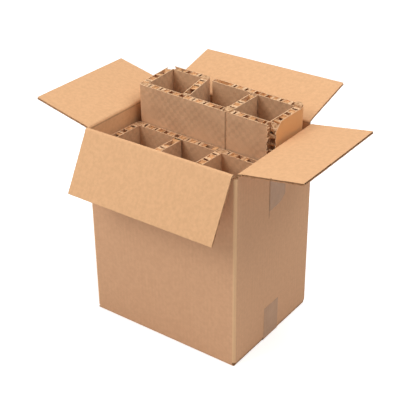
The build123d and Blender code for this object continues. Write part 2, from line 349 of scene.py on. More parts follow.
def fibre_group():
    """Kraft paper: soft clouds, short dark and pale fibres, and a fine rough grain."""
    tree, given, out = effect_group(
        "paper_fibre", {"Clouds": ("Float", 22.0), "Fibres": ("Float", 620.0)},
        ("Cloud", "Dark fibre", "Pale fibre", "Grain"),
    )
    place = tree.nodes.new("ShaderNodeTexCoord").outputs["Object"]
    cloud = add_node(
        tree, "ShaderNodeTexNoise", Vector=place, Scale=given["Clouds"], Detail=5.0, Roughness=0.6
    )
    tree.links.new(fade(tree, cloud.outputs["Fac"], 0.3, 0.7), out["Cloud"])
    for label, seed, low in (("Dark fibre", (0.37, 0.11, 0.53), 0.66), ("Pale fibre", (0.71, 0.29, 0.17), 0.64)):
        shifted = add_node(tree, "ShaderNodeMapping", Vector=place, Location=seed, Scale=(1.0, 0.75, 0.4))
        spot = add_node(
            tree, "ShaderNodeTexNoise", Vector=shifted.outputs[0], Scale=given["Fibres"],
            Detail=3.0, Roughness=0.7, Distortion=1.2,
        )
        tree.links.new(fade(tree, spot.outputs["Fac"], low, low + 0.1), out[label])
    grain = add_node(
        tree, "ShaderNodeTexNoise", Vector=place, Scale=900.0, Detail=4.0, Roughness=0.7
    )
    tree.links.new(grain.outputs["Fac"], out["Grain"])
    return tree


def flute_group():
    """Faint lines where the flutes show through the flat sheet, across the map's U, used as bump and as painted shade.
    """
    tree, given, out = effect_group(
        "flute_lines", {"Pitch": ("Float", FLUTE_PITCH), "Waver": ("Float", 0.35)}, ("Ridge",)
    )
    board_map = add_node(tree, "ShaderNodeUVMap", {"uv_map": "board"})
    split = add_node(tree, "ShaderNodeSeparateXYZ", Vector=board_map.outputs[0])
    turns = math_node(tree, "DIVIDE", split.outputs["X"], given["Pitch"])
    patchy = add_node(tree, "ShaderNodeTexNoise", Vector=board_map.outputs[0], Scale=16.0, Detail=2.0)
    wander = math_node(tree, "MULTIPLY_ADD", patchy.outputs["Fac"], given["Waver"], turns)
    wave = math_node(tree, "SINE", math_node(tree, "MULTIPLY", wander, 2 * pi))
    strength = fade(tree, patchy.outputs["Fac"], 0.3, 0.75)
    tree.links.new(math_node(tree, "MULTIPLY", wave, strength), out["Ridge"])
    return tree


def quilt_group():
    """The print of the core cells on a facing: 0 over a cell's walls and 1 in its sunken middle."""
    tree, given, out = effect_group("cell_print", {"Cell": ("Float", CELL)}, ("Sunk",))
    board_map = add_node(tree, "ShaderNodeUVMap", {"uv_map": "board"})
    wander = add_node(tree, "ShaderNodeTexNoise", Vector=board_map.outputs[0], Scale=38.0, Detail=2.0)
    split = add_node(tree, "ShaderNodeSeparateXYZ", Vector=board_map.outputs[0])
    across = math_node(tree, "DIVIDE", split.outputs["X"], given["Cell"])
    up = math_node(tree, "DIVIDE", split.outputs["Y"], given["Cell"])
    waves = []
    for slope in (-0.5, 0.5):
        along = math_node(tree, "MULTIPLY_ADD", up, slope, math_node(tree, "MULTIPLY", across, 0.55))
        bent = math_node(tree, "MULTIPLY_ADD", wander.outputs["Fac"], 1.2, along)
        waves.append(math_node(tree, "COSINE", math_node(tree, "MULTIPLY", bent, 2 * pi)))
    total = math_node(tree, "ADD", waves[0], waves[1])
    patchy = add_node(tree, "ShaderNodeTexNoise", Vector=board_map.outputs[0], Scale=14.0, Detail=2.0)
    strength = fade(tree, patchy.outputs["Fac"], 0.25, 0.6)
    tree.links.new(math_node(tree, "MULTIPLY", fade(tree, total, -1.0, 1.0), strength), out["Sunk"])
    return tree


def wear_and_shade_group():
    """Scuffed cut edges where the piece's edge values near 1, and painted shade where they fall to -1, in creases, cuts
    and slits.
    """
    tree, given, out = effect_group("edge_wear_and_painted_shade", {"Reach": ("Float", 0.5)}, ("Wear", "Painted shade"))
    edge = add_node(tree, "ShaderNodeAttribute", {"attribute_name": "edge"}).outputs["Fac"]
    place = tree.nodes.new("ShaderNodeTexCoord").outputs["Object"]
    rough = add_node(tree, "ShaderNodeTexNoise", Vector=place, Scale=210.0, Detail=4.0)
    sum_of = math_node(tree, "ADD", edge, math_node(tree, "SUBTRACT", rough.outputs["Fac"], given["Reach"]))
    tree.links.new(fade(tree, sum_of, 0.55, 1.0), out["Wear"])
    tree.links.new(fade(tree, edge, -0.1, -0.9), out["Painted shade"])
    return tree


FIBRE, FLUTES, QUILT, WEAR_AND_SHADE = fibre_group(), flute_group(), quilt_group(), wear_and_shade_group()


def place_group(tree, group, **values):
    node = tree.nodes.new("ShaderNodeGroup")
    node.node_tree = group
    for label, value in values.items():
        node.inputs[label].default_value = value
    return node.outputs


def tint(tree, base, amount, colour, blend="MIX"):
    """Lays a colour over another by an amount from 0 to 1."""
    node = add_node(tree, "ShaderNodeMix", {"data_type": "RGBA", "blend_type": blend}, Factor=amount)
    colours = [s for s in node.inputs if s.type == "RGBA"]
    for socket, value in zip(colours, (base, colour)):
        if isinstance(value, bpy.types.NodeSocket):
            tree.links.new(value, socket)
        else:
            socket.default_value = (*value, 1)
    return [s for s in node.outputs if s.type == "RGBA"][0]


def share(tree, value, amount):
    return math_node(tree, "MULTIPLY", value, amount)


def srgb(red, green, blue):
    """A colour as it is seen, from 0 to 255, turned into a light value."""
    return tuple(
        c / 12.92 if c <= 0.04045 else ((c + 0.055) / 1.055) ** 2.4
        for c in (red / 255, green / 255, blue / 255)
    )


def new_material(name, roughness):
    material = bpy.data.materials.new(name)
    material.use_nodes = True
    shader = material.node_tree.nodes["Principled BSDF"]
    shader.inputs["Roughness"].default_value = roughness
    shader.inputs["Specular IOR Level"].default_value = 0.25
    return material, material.node_tree, shader


def bump_up(tree, shader, height, distance, strength=1.0):
    bump = add_node(tree, "ShaderNodeBump", Height=height, Distance=distance, Strength=strength)
    tree.links.new(bump.outputs[0], shader.inputs["Normal"])


def kraft_finish(name, dark, light, fluted, roughness=0.78):
    """Kraft liner. fluted says how strongly the flutes show through it, as bump and as painted shade along the flute
    lines.
    """
    material, tree, shader = new_material(name, roughness)
    fibre = place_group(tree, FIBRE, Clouds=150.0, Fibres=340.0)
    flutes = place_group(tree, FLUTES)
    worn_and_shaded = place_group(tree, WEAR_AND_SHADE)
    colour = tint(tree, dark, fibre["Cloud"], light)
    # painted shade: the colour is darker along the flute ridges, as the shadow of their bump
    shade = math_node(tree, "MULTIPLY_ADD", flutes["Ridge"], 0.5, 0.5)
    colour = tint(tree, colour, share(tree, shade, fluted), tuple(0.8 * c for c in dark))
    colour = tint(tree, colour, share(tree, fibre["Dark fibre"], 0.3), tuple(0.45 * c for c in dark))
    colour = tint(tree, colour, share(tree, fibre["Pale fibre"], 0.3), tuple(1.25 * c for c in light))
    # painted highlight: the tone attribute makes the board paler along the rounded corners of the walls
    bent = add_node(tree, "ShaderNodeAttribute", {"attribute_name": "tone"}).outputs["Fac"]
    colour = tint(tree, colour, share(tree, bent, 0.6), srgb(238, 196, 148))
    colour = tint(tree, colour, share(tree, worn_and_shaded["Wear"], 0.55), tuple(0.72 * c for c in dark))
    # painted shade: dark where the edge values are negative, in the crease, the knife cut and the slit
    colour = tint(tree, colour, share(tree, worn_and_shaded["Painted shade"], 0.8), tuple(0.25 * c for c in dark))
    tree.links.new(colour, shader.inputs["Base Color"])
    height = math_node(tree, "MULTIPLY_ADD", flutes["Ridge"], fluted * 3, fibre["Grain"])
    bump_up(tree, shader, height, 0.00012)
    tree.links.new(math_node(tree, "MULTIPLY_ADD", fibre["Cloud"], 0.12, roughness - 0.06), shader.inputs["Roughness"])
    return material


def facing_finish(name, grey, tan_brown, printed):
    """Recycled liner of the honeycomb board, with the print of the cells behind it."""
    material, tree, shader = new_material(name, 0.86)
    fibre = place_group(tree, FIBRE, Clouds=30.0)
    worn_and_shaded = place_group(tree, WEAR_AND_SHADE)
    tone = add_node(tree, "ShaderNodeAttribute", {"attribute_name": "tone"}).outputs["Fac"]
    rough_liner = math_node(tree, "SUBTRACT", 1.0, tone)
    sunk = share(tree, place_group(tree, QUILT)["Sunk"], rough_liner)
    colour = tint(tree, grey, share(tree, fibre["Cloud"], 0.6), tan_brown)
    colour = tint(tree, colour, share(tree, sunk, printed), tuple(0.5 * c for c in grey))
    colour = tint(tree, colour, tone, srgb(222, 166, 112))
    colour = tint(tree, colour, share(tree, fibre["Dark fibre"], 0.35), tuple(0.45 * c for c in grey))
    colour = tint(tree, colour, share(tree, fibre["Pale fibre"], 0.35), tuple(1.3 * c for c in tan_brown))
    colour = tint(tree, colour, share(tree, worn_and_shaded["Wear"], 0.9), srgb(232, 192, 152))
    # painted shade: dark over the slit where the tongue of the strip meets the other strip
    colour = tint(tree, colour, share(tree, worn_and_shaded["Painted shade"], 0.5), srgb(96, 66, 44))
    tree.links.new(colour, shader.inputs["Base Color"])
    height = math_node(tree, "MULTIPLY_ADD", sunk, -1.2, fibre["Grain"])
    bump_up(tree, shader, height, 0.0002)
    tree.links.new(math_node(tree, "MULTIPLY_ADD", fibre["Cloud"], 0.1, 0.8), shader.inputs["Roughness"])
    return material


def paper_finish(name, dark, light, clouds):
    """Bare core paper and torn edges."""
    material, tree, shader = new_material(name, 0.9)
    fibre = place_group(tree, FIBRE, Clouds=clouds, Fibres=800.0)
    colour = tint(tree, dark, fibre["Cloud"], light)
    colour = tint(tree, colour, share(tree, fibre["Dark fibre"], 0.45), tuple(0.4 * c for c in dark))
    colour = tint(tree, colour, share(tree, fibre["Pale fibre"], 0.5), tuple(1.3 * c for c in light))
    tree.links.new(colour, shader.inputs["Base Color"])
    bump_up(tree, shader, fibre["Grain"], 0.0003)
    tree.links.new(math_node(tree, "MULTIPLY_ADD", fibre["Grain"], 0.1, 0.84), shader.inputs["Roughness"])
    return material


def tape_finish(name):
    """Thin tape with a soft gloss, fine lines along it and small bubbles under it."""
    material, tree, shader = new_material(name, 0.34)
    shader.inputs["Specular IOR Level"].default_value = 0.4
    place = tree.nodes.new("ShaderNodeTexCoord").outputs["Object"]
    fibre = place_group(tree, FIBRE, Clouds=45.0)
    drawn = add_node(tree, "ShaderNodeMapping", Vector=place, Scale=(1.0, 12.0, 0.6))
    lines = add_node(tree, "ShaderNodeTexNoise", Vector=drawn.outputs[0], Scale=60.0, Detail=3.0)
    colour = tint(tree, srgb(169, 122, 80), fibre["Cloud"], srgb(181, 133, 90))
    colour = tint(tree, colour, share(tree, lines.outputs["Fac"], 0.3), srgb(149, 109, 74))
    tree.links.new(colour, shader.inputs["Base Color"])
    tree.links.new(math_node(tree, "MULTIPLY_ADD", lines.outputs["Fac"], 0.3, 0.22), shader.inputs["Roughness"])
    bubbles = add_node(tree, "ShaderNodeTexNoise", Vector=place, Scale=140.0, Detail=2.0)
    bump_up(tree, shader, bubbles.outputs["Fac"], 0.0003)
    return material


kraft = kraft_finish("kraft_outside", srgb(208, 160, 122), srgb(216, 168, 130), fluted=0.18)
kraft_inside = kraft_finish("kraft_inside", srgb(218, 169, 124), srgb(228, 179, 133), fluted=0.06)
# cut edges of the board, made dark as painted shade of the open flutes between its sheets
cut_edge_with_painted_shade = paper_finish("cut_edge_with_painted_shade", srgb(142, 102, 70), srgb(196, 152, 112), 160.0)
flute_paper = paper_finish("flute_paper", srgb(118, 84, 56), srgb(172, 130, 92), 120.0)
facing = facing_finish("honeycomb_facing", srgb(206, 163, 126), srgb(228, 184, 144), printed=0.2)
inner_facing = facing_finish("honeycomb_facing_inside", srgb(205, 161, 123), srgb(229, 185, 143), printed=0.16)
torn_paper = paper_finish("torn_paper", srgb(206, 162, 122), srgb(238, 200, 160), 240.0)
# core paper colour, its dark end partly painted shade in the cell pockets
core_paper_with_pocket_shade = paper_finish("core_paper_with_pocket_shade", srgb(190, 134, 86), srgb(234, 184, 134), 90.0)
crushed_core = paper_finish("crushed_core", srgb(166, 120, 80), srgb(228, 186, 144), 190.0)
brown_tape = tape_finish("brown_tape")


# ------------------------------------------------------------ top flaps
def fold_frame(at, out, height, tilt):
    """Axes of a flap at rest: along the fold, towards the free edge, and inwards from the outside."""
    lean = radians(tilt)
    outward, upright = Vector((*out, 0)), Vector((0, 0, 1))
    down = outward * sin(lean) + upright * cos(lean)
    inward = outward * -cos(lean) + upright * sin(lean)
    along = down.cross(inward)
    return Vector((out[0] * at, out[1] * at, height)), along, down, inward, outward


# name: distance of the fold from the middle, outward direction, fold height, half width, tilt from
# upright, and how rough its cut edges are
FLAPS = {
    "front": (DEPTH / 2, (0, -1), HEIGHT, 155.4 * MM, 151.4, 0.3),
    "rear": (DEPTH / 2, (0, 1), HEIGHT, 154.0 * MM, 75.3, 0.3),
    "left": (LENGTH / 2, (-1, 0), SHORT_FOLD, 118.5 * MM, 77.3, 0.35),
    "right": (LENGTH / 2, (1, 0), SHORT_FOLD, 115.5 * MM, 81.1, 0.5),
}
NICK_AT, NICK_WIDTH, NICK_DEPTH = 62 * MM, 5 * MM, 3 * MM
flutes = flute_tree()


def flap_warp(name, u, v):
    """How far a flap's board is bent inwards of its plane, more towards its free edge."""
    reach = (v / FLAP) ** 2
    return reach * 0.9 * MM * ripple((u, v, 0), 0.16, seed=len(name)) - reach * 0.3 * MM


def flap_sheet(name, frame_of, half, low, high, roughness, slots):
    """One flat sheet of a flap's board, between two depths below its outside."""
    origin, along, down, inward, _ = frame_of
    us, vs = spread(-1, 1, STEP / half), spread(FLAP_ROOT, FLAP, STEP)
    front_end = 1 if along.y < 0 else -1
    rows, others, uv, edge = [], [], [], []
    for v in vs:
        for share_u in us:
            limit = half + roughness * MM * (ripple((v, low, share_u > 0), 0.007, seed=half) - 1)
            if name == "right" and share_u * front_end > 0:
                limit -= NICK_DEPTH * max(0.0, 1 - abs(v - NICK_AT) * 2 / NICK_WIDTH)
                limit -= 0.5 * MM * (1 + ripple((v, 0, low), 0.004, seed=3.1))
            u = share_u * limit
            end = v
            if v == vs[-1]:
                end += roughness * MM * (ripple((u, low, 0), 0.008, seed=half * 7) - 1)
            bend = flap_warp(name, u, end)
            rows.append(origin + along * u + down * end + inward * (low + bend))
            others.append(origin + along * u + down * end + inward * (high + bend))
            uv.append((u, end))
            edge.append(1 - min(1.0, min(half - abs(u), FLAP - v) / (2.5 * MM)))
    shape = (len(vs), len(us))
    front = np.array(rows).reshape(*shape, 3)
    back = np.array(others).reshape(*shape, 3)
    return sheet_part(front, back, np.array(uv), slots, np.array(edge))


def flap_flutes(name, frame_of, half):
    """The wavy paper between a flap's two flat sheets."""
    origin, along, down, inward, _ = frame_of
    reach = FLAP - FLAP_ROOT - 2.4 * MM
    width = 2 * half - 4.4 * MM
    paper = 0.3 * MM
    mesh = grow(flutes, bpy.data.meshes.new("flutes"), {
        "Width": width, "Reach": reach, "Pitch": FLUTE_PITCH,
        "Rise": (BOARD - 2 * SHEET - paper) / 2, "Paper": paper,
        "Points": 12 * round(width / FLUTE_PITCH) + 1, "Finish": flute_paper,
    })
    middle = origin + down * (FLAP_ROOT + 0.4 * MM + reach / 2) + inward * (BOARD - paper) / 2
    for vertex in mesh.vertices:
        vertex.co.z += flap_warp(name, vertex.co.x, vertex.co.y + FLAP_ROOT + reach / 2)
    place = Matrix((along, down, inward)).transposed().to_4x4()
    return mesh_part(mesh, Matrix.Translation(middle) @ place, 3)


def flap_side(name, frame_of, half, sign):
    """The last wall of the fluted paper, which closes a flap's side edge."""
    origin, along, down, inward, _ = frame_of
    vs = spread(FLAP_ROOT + 0.5 * MM, FLAP - 1 * MM, STEP)
    depths = np.linspace(0.7 * SHEET, BOARD - 0.7 * SHEET, 3)
    grids = np.zeros((2, len(vs), len(depths), 3))
    uv = np.zeros((len(vs), len(depths), 2))
    for r, v in enumerate(vs):
        for c, depth in enumerate(depths):
            crumple = 0.5 * MM * ripple((v, depth, 0), 0.006, seed=half * sign * 11)
            for layer, inset in enumerate((1.3 * MM, 1.9 * MM)):
                u = sign * (half - inset + crumple)
                bend = flap_warp(name, u, v)
                grids[layer, r, c] = origin + along * u + down * v + inward * (depth + bend)
            uv[r, c] = v, depth
    if name == "right":
        nick = sign * (1 if along.y < 0 else -1) > 0
        grids -= np.array(along) * sign * 1.2 * MM * nick
    return sheet_part(grids[0], grids[1], uv, (2, 2, 2), np.zeros(uv.shape[:2]))


def make_flap(name, at, out, height, half, tilt, roughness):
    frame_of = fold_frame(at, out, height, tilt)
    parts = [
        flap_sheet(name, frame_of, half, 0, SHEET, roughness, (0, 0, 2)),
        flap_sheet(name, frame_of, half, BOARD - SHEET, BOARD, roughness, (1, 1, 2)),
        flap_flutes(name, frame_of, half),
        flap_side(name, frame_of, half, -1),
        flap_side(name, frame_of, half, 1),
    ]
    finishes = [kraft, kraft_inside, cut_edge_with_painted_shade, flute_paper]
    flap = f"{name}_flap"
    make_piece(f"{flap}_board", parts, finishes, flap, replaces=[flap])


def make_fold(name, at, out, height, half, tilt, roughness):
    """The crushed board along a top fold, from the wall over the crest to the flap."""
    origin, along, down, inward, outward = fold_frame(at, out, height, tilt)
    lean = radians(tilt)
    skin = 0.04 * MM

    def on_flap(v, w):
        return np.array((v * sin(lean) - w * cos(lean), v * cos(lean) + w * sin(lean)))

    def curve(points, count):
        """A smooth curve drawn by three or four control points, without its two ends."""
        drawn = []
        for t in np.linspace(0, 1, count + 2)[1:-1]:
            level = [np.array(p) for p in points]
            while len(level) > 1:
                level = [a * (1 - t) + b * t for a, b in zip(level, level[1:])]
            drawn.append(level[0])
        return drawn

    swell = (4.4 if tilt > 90 else 6.2) * MM
    wall_out, wall_bend = np.array((skin, -CREASE)), np.array((skin, -1.6 * MM))
    flap_bend, flap_out = on_flap(1.6 * MM, -skin), on_flap(CREASE, -skin)
    flap_in, crest_end = on_flap(CREASE, BOARD + skin), on_flap(FLAP_ROOT, BOARD + skin)
    wall_in, crest_start = np.array((-BOARD - skin, -CREASE)), np.array((-BOARD - skin, -WALL_TOP_GAP))
    loop = [wall_out, wall_bend, *curve([wall_bend, (skin, -skin), flap_bend], 3), flap_bend, flap_out,
            flap_in, crest_end,
            *curve([crest_end, on_flap(FLAP_ROOT - swell, BOARD + skin),
                    (-BOARD - skin, swell - WALL_TOP_GAP), crest_start], 7),
            crest_start, wall_in]
    us = spread(-half, half, STEP / 1.5)
    ends = (0, len(loop) - 1)
    scored = (len(loop) - 4, len(loop) - 3)  # the creased line, on the wall's side of the crest
    verts, uv, edge = [], [], []
    travelled = np.cumsum([0] + [np.linalg.norm(b - a) for a, b in zip(loop, loop[1:])])
    for u in us:
        for i, (o, z) in enumerate(loop):
            crumple = 0.0 if i in ends else 0.28 * MM * ripple((u, o, z), 0.006, seed=half * 9)
            outer = i < 7
            crumple *= 0.35 if outer else 1.0
            point = origin + along * u + outward * (o + crumple * (0.3 if outer else 0.2))
            verts.append(point + Vector((0, 0, z + crumple)))
            uv.append((u, travelled[i]))
            # painted shade: the creased line is darkened through a negative edge value
            edge.append(-0.5 * (i in scored))
    count, columns = len(loop), len(us)
    faces, kinds = [], []
    for c in range(columns - 1):
        for i in range(count):
            j = (i + 1) % count
            faces.append([c * count + i, (c + 1) * count + i, (c + 1) * count + j, c * count + j])
            kinds.append(0 if i < 6 else 1)
    faces += [[*range(count)], [*range((columns - 1) * count, columns * count)][::-1]]
    kinds += [2, 2]
    part = (np.array(verts), faces, np.array(kinds), np.array(uv), np.array(edge), 0.0)
    piece = make_piece(
        f"{name}_fold", [part], [kraft, kraft_inside, cut_edge_with_painted_shade], None
    )
    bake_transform(piece)


for flap_name, flap_sizes in FLAPS.items():
    make_flap(flap_name, *flap_sizes)
    make_fold(flap_name, *flap_sizes)


# ------------------------------------------------------------ carton walls and floor
def arc(centre, radius, start, end, step=9):
    """Points on an arc, angles in degrees."""
    count = max(2, round(abs(end - start) / step) + 1)
    return [
        (centre[0] + radius * cos(radians(a)), centre[1] + radius * sin(radians(a)))
        for a in np.linspace(start, end, count)
    ]


def wall_bow(along, z, side):
    """How far a wall stands out of flat. along is the distance from its middle."""
    half = LENGTH / 2 if side in ("front", "rear") else DEPTH / 2
    hold = max(0.0, 1 - (along / half) ** 2) * max(0.0, sin(pi * min(1.0, z / (HEIGHT - 10 * MM))))
    seed = {"front": 1.0, "rear": 2.0, "left": 3.0, "right": 4.0}[side]
    return hold * (0.5 * MM + 0.7 * MM * ripple((along, z, 0), 0.13, seed=seed))


def ring_plan():
    """Stations round the walls: outside point, inside point, outward direction and wall."""
    x, y, r = LENGTH / 2, DEPTH / 2, CORNER_RADIUS
    inner_x, inner_y = x - BOARD, y - BOARD
    stations = []

    def straight(side, start, end, fixed, direction):
        for place in spread(start, end, STEP):
            if direction[0]:
                outer, inner = (fixed * direction[0], place), ((fixed - BOARD) * direction[0], place)
            else:
                outer, inner = (place, fixed * direction[1]), (place, (fixed - BOARD) * direction[1])
            stations.append((outer, inner, direction, side))

    def corner(sx, sy, start, end):
        inner = (sx * inner_x, sy * inner_y)
        for point in arc((sx * (x - r), sy * (y - r)), r, start, end)[1:-1]:
            stations.append((point, inner, None, "corner"))

    straight("front", -x + r, x - r, y, (0, -1))
    corner(1, -1, -90, 0)
    straight("right", -y + r, KNIFE_Y - 1.5 * KNIFE_WIDTH, x, (1, 0))
    for place in (-1, -0.5, 0, 0.5, 1):
        knife_y = KNIFE_Y + place * KNIFE_WIDTH
        stations.append(((x, knife_y), (inner_x, knife_y), (1, 0), "right"))
    straight("right", KNIFE_Y + 1.5 * KNIFE_WIDTH, y - 1.5 * MM, x, (1, 0))
    stations.append(((x - BOARD, y - 1.5 * MM), (inner_x, inner_y), None, "corner"))
    stations.append(((x - BOARD - 0.5 * MM, y - 1.8 * MM), (inner_x, inner_y), None, "corner"))
    stations.append(((x - BOARD - 2.2 * MM, y - 0.4 * MM), (inner_x, inner_y), None, "corner"))
    straight("rear", x - BOARD - 3.2 * MM, -x + r, y, (0, 1))
    corner(-1, 1, 90, 180)
    straight("left", y - r, -y + r, x, (-1, 0))
    corner(-1, -1, 180, 270)
    return stations


def wall_ring():
    stations = ring_plan()
    shares = np.concatenate([np.linspace(0, 0.03, 4)[:-1], np.linspace(0.03, 0.97, 58), np.linspace(0.97, 1, 4)[1:]])
    front = np.zeros((len(shares), len(stations), 3))
    back, uv = front.copy(), np.zeros((len(shares), len(stations), 2))
    edge = np.zeros((len(shares), len(stations)))
    tone = edge.copy()
    travelled = 0.0
    for c, (outer, inner, direction, side) in enumerate(stations):
        if c:
            travelled += (Vector(outer) - Vector(stations[c - 1][0])).length
        long_wall = side in ("front", "rear") and abs(outer[0]) < LENGTH / 2 - 2 * BOARD
        low = BOTTOM_RADIUS if side in ("front", "rear") else BOTTOM_RADIUS + BOARD
        high = (HEIGHT if long_wall else SHORT_FOLD) - WALL_TOP_GAP
        for r, part_way in enumerate(shares):
            z = low + (high - low) * part_way
            if direction:
                along = outer[0] if direction[1] else outer[1]
                out = Vector((*direction, 0)) * wall_bow(along, z, side)
            else:
                out = Vector((0, 0, 0))
            off_cut = abs(outer[1] - KNIFE_Y) / KNIFE_WIDTH if side == "right" else 1
            knifed = off_cut < 0.7 and z > KNIFE_BOTTOM
            depth = Vector((KNIFE_DEPTH * (knifed and off_cut < 0.1), 0, 0))
            front[r, c] = Vector((*outer, z)) + out - depth
            back[r, c] = Vector((*inner, z)) + out
            uv[r, c] = travelled, z
            # painted highlight along the rounded corners, which the kraft finish reads through the tone attribute
            tone[r, c] = side == "corner"
            folded = 0.4 * tone[r, c]
            # painted shade: the colour over the knife cut is made dark. The walls are also darker over their lowest 3
            # mm.
            edge[r, c] = -0.65 if knifed else max(folded, 1 - min(1.0, (z - low) / (3 * MM)))
    return sheet_part(front, back, uv, (0, 1, 2), edge, np.concatenate([tone.ravel()] * 2), ring=True)


def floor_sheet(profile, half, across):
    """A bottom flap: a profile of distance from the middle and height, run along its fold."""
    path = np.array(profile)
    ahead = np.gradient(path, axis=0)
    ahead /= np.linalg.norm(ahead, axis=1)[:, None]
    up = np.stack([-ahead[:, 1], ahead[:, 0]], axis=1)
    up *= np.sign(up[-1, 1])
    travelled = np.concatenate([[0], np.cumsum(np.linalg.norm(np.diff(path, axis=0), axis=1))])
    us = spread(-half, half, 2 * STEP)
    front = np.zeros((len(path), len(us), 3))
    back, uv = front.copy(), np.zeros((len(path), len(us), 2))
    for r, (far, z) in enumerate(path):
        under_tape = across and z < 1 * MM and abs(far - TAPE_Y) < TAPE_WIDTH / 2 + 0.5 * MM
        lifted = z + (TAPE + 0.06 * MM) * under_tape
        inner_far, inner_z = path[r] + up[r] * BOARD
        for c, u in enumerate(us):
            front[r, c] = (u, far, lifted) if across else (far, u, lifted)
            back[r, c] = (u, inner_far, inner_z) if across else (inner_far, u, inner_z)
            uv[r, c] = u, travelled[r]
    edge = np.zeros((len(path), len(us)))
    edge[-1] = 1
    return sheet_part(front, back, uv, (0, 1, 2), edge)


def floor_parts():
    """Four bottom flaps: the long ones meet at the seam, the short ones lie on top of them."""
    radius = BOTTOM_RADIUS
    turns = np.linspace(0, pi / 2, 8)
    parts = []
    for fold, end, low, half, across in (
        (DEPTH / 2, FLOOR_SEAM / 2, 0.0, LENGTH / 2 - 2.2 * MM, True),
        (LENGTH / 2, LENGTH / 2 - FLAP, BOARD, DEPTH / 2 - 5 * MM, False),
    ):
        bend = [(fold - radius * (1 - cos(a)), low + radius * (1 - sin(a))) for a in turns]
        run = [(far, low) for far in spread(fold - radius, end, STEP)[1:]]
        profile = [(fold, low + radius + 0.4 * MM), *bend, *run]
        for sign in (-1, 1):
            parts.append(floor_sheet([(sign * far, z) for far, z in profile], half, across))
    return parts


def glue_tab():
    """The tab of the rear wall, glued inside the right wall."""
    x = LENGTH / 2 - BOARD - 0.1 * MM
    low, high, bevel = 14 * MM, SHORT_FOLD - WALL_TOP_GAP - 6 * MM, 9 * MM
    rear = DEPTH / 2 - BOARD - 0.1 * MM
    ys = spread(rear, rear - 34 * MM, STEP)
    shares = spread(0, 1, 0.02)
    front = np.zeros((len(shares), len(ys), 3))
    back, uv = front.copy(), np.zeros((len(shares), len(ys), 2))
    edge = np.zeros((len(shares), len(ys)))
    for c, y in enumerate(ys):
        cut = bevel * (rear - y) / (34 * MM)
        for r, part_way in enumerate(shares):
            z = low + cut + (high - low - 2 * cut) * part_way
            bow = wall_bow(y, z, "right")
            front[r, c], back[r, c] = (x + bow, y, z), (x - BOARD + 0.2 * MM + bow, y, z)
            uv[r, c] = y, z
            edge[r, c] = 1 - min(1.0, abs(y - ys[-1]) / (2 * MM))
    return sheet_part(front, back, uv, (1, 1, 2), edge)


make_piece(
    "carton_walls", [wall_ring(), *floor_parts(), glue_tab()], [kraft, kraft_inside, cut_edge_with_painted_shade],
    "carton", replaces=["carton_body"],
)


# ------------------------------------------------------------ tape
def tape_part(places, uv):
    """Tape laid on a grid of places, each x, y, z and its outward x and z."""
    front, back = np.zeros((*places.shape[:2], 3)), np.zeros((*places.shape[:2], 3))
    for r, line in enumerate(places):
        for c, (x, y, z, out_x, out_z) in enumerate(line):
            on_wall = abs(out_x) > 0.95
            bow = wall_bow(y, z, "right" if x > 0 else "left") if on_wall else 0.0
            wrinkle = 0.05 * MM * (1 + ripple((x, y, z), 0.011, seed=5.0)) if on_wall else 0.0
            lift = TAPE * 0.7 + wrinkle
            front[r, c] = x + out_x * (lift + bow), y, max(z + out_z * 0.15 * TAPE, 0)
            back[r, c] = x + out_x * (bow + 0.01 * MM), y, max(z, 0) - out_z * 0.6 * TAPE
    edge = np.zeros(places.shape[:2])
    edge[:, [0, -1]] = 1
    return sheet_part(front, back, uv, (0, 0, 0), edge)


def teeth(y):
    """The zigzag that a tape cutter leaves."""
    return 0.9 * MM * abs((y / (1.8 * MM)) % 1 - 0.5)


def bottom_tape_part():
    """One strip along the floor seam and up both side walls."""
    x, r = LENGTH / 2, TAPE_RADIUS
    ys = spread(TAPE_Y - TAPE_WIDTH / 2, TAPE_Y + TAPE_WIDTH / 2, 0.9 * MM)
    half_path = [(0.0, 0.0, 0.0, -1.0)]
    half_path += [(far, 0.0, 0.0, -1.0) for far in spread(0, x - r, 4 * STEP)[1:]]
    half_path += [
        (x - r + r * sin(a), r - r * cos(a), sin(a), -cos(a)) for a in np.linspace(0, pi / 2, 8)[1:]
    ]
    half_path += [(x, z, 1.0, 0.0) for z in spread(r, TAPE_RISE - 1 * MM, STEP)[1:]]
    path = [(-far, z, -out_x, out_z) for far, z, out_x, out_z in half_path[:0:-1]] + half_path
    places = np.zeros((len(path), len(ys), 5))
    uv = np.zeros((len(path), len(ys), 2))
    for r, (far, z, out_x, out_z) in enumerate(path):
        for c, y in enumerate(ys):
            cut_end = teeth(y) if r in (0, len(path) - 1) else 0.0
            places[r, c] = far, y, z + cut_end, out_x, out_z
            uv[r, c] = y, far
    return tape_part(places, uv)


def old_tape_part():
    """What is left of the top tape on the right wall, with a torn lower end."""
    ys = spread(OLD_TAPE_LEFT, OLD_TAPE_RIGHT, 1.2 * MM)
    shares = spread(0, 1, 0.03)
    torn_y = [OLD_TAPE_LEFT, OLD_TAPE_RIGHT - 2 * OLD_TAPE_TORN, OLD_TAPE_RIGHT]
    torn_z = [OLD_TAPE_BOTTOM, OLD_TAPE_BOTTOM + OLD_TAPE_TORN / 2, OLD_TAPE_BOTTOM + 2 * OLD_TAPE_TORN]
    places = np.zeros((len(shares), len(ys), 5))
    uv = np.zeros((len(shares), len(ys), 2))
    top = SHORT_FOLD - WALL_TOP_GAP
    for c, y in enumerate(ys):
        torn = np.interp(y, torn_y, torn_z) + 1.2 * MM * (1 + ripple((y, 0, 0), 0.005, seed=8.0))
        for r, part_way in enumerate(shares):
            z = torn + (top - torn) * part_way
            places[r, c] = LENGTH / 2, y, z, 1.0, 0.0
            uv[r, c] = y, z
    return tape_part(places, uv)


for tape_name, tape_parts in (("bottom_tape", bottom_tape_part), ("old_tape", old_tape_part)):
    make_piece(f"{tape_name}_strip", [tape_parts()], [brown_tape], "carton", replaces=[tape_name])


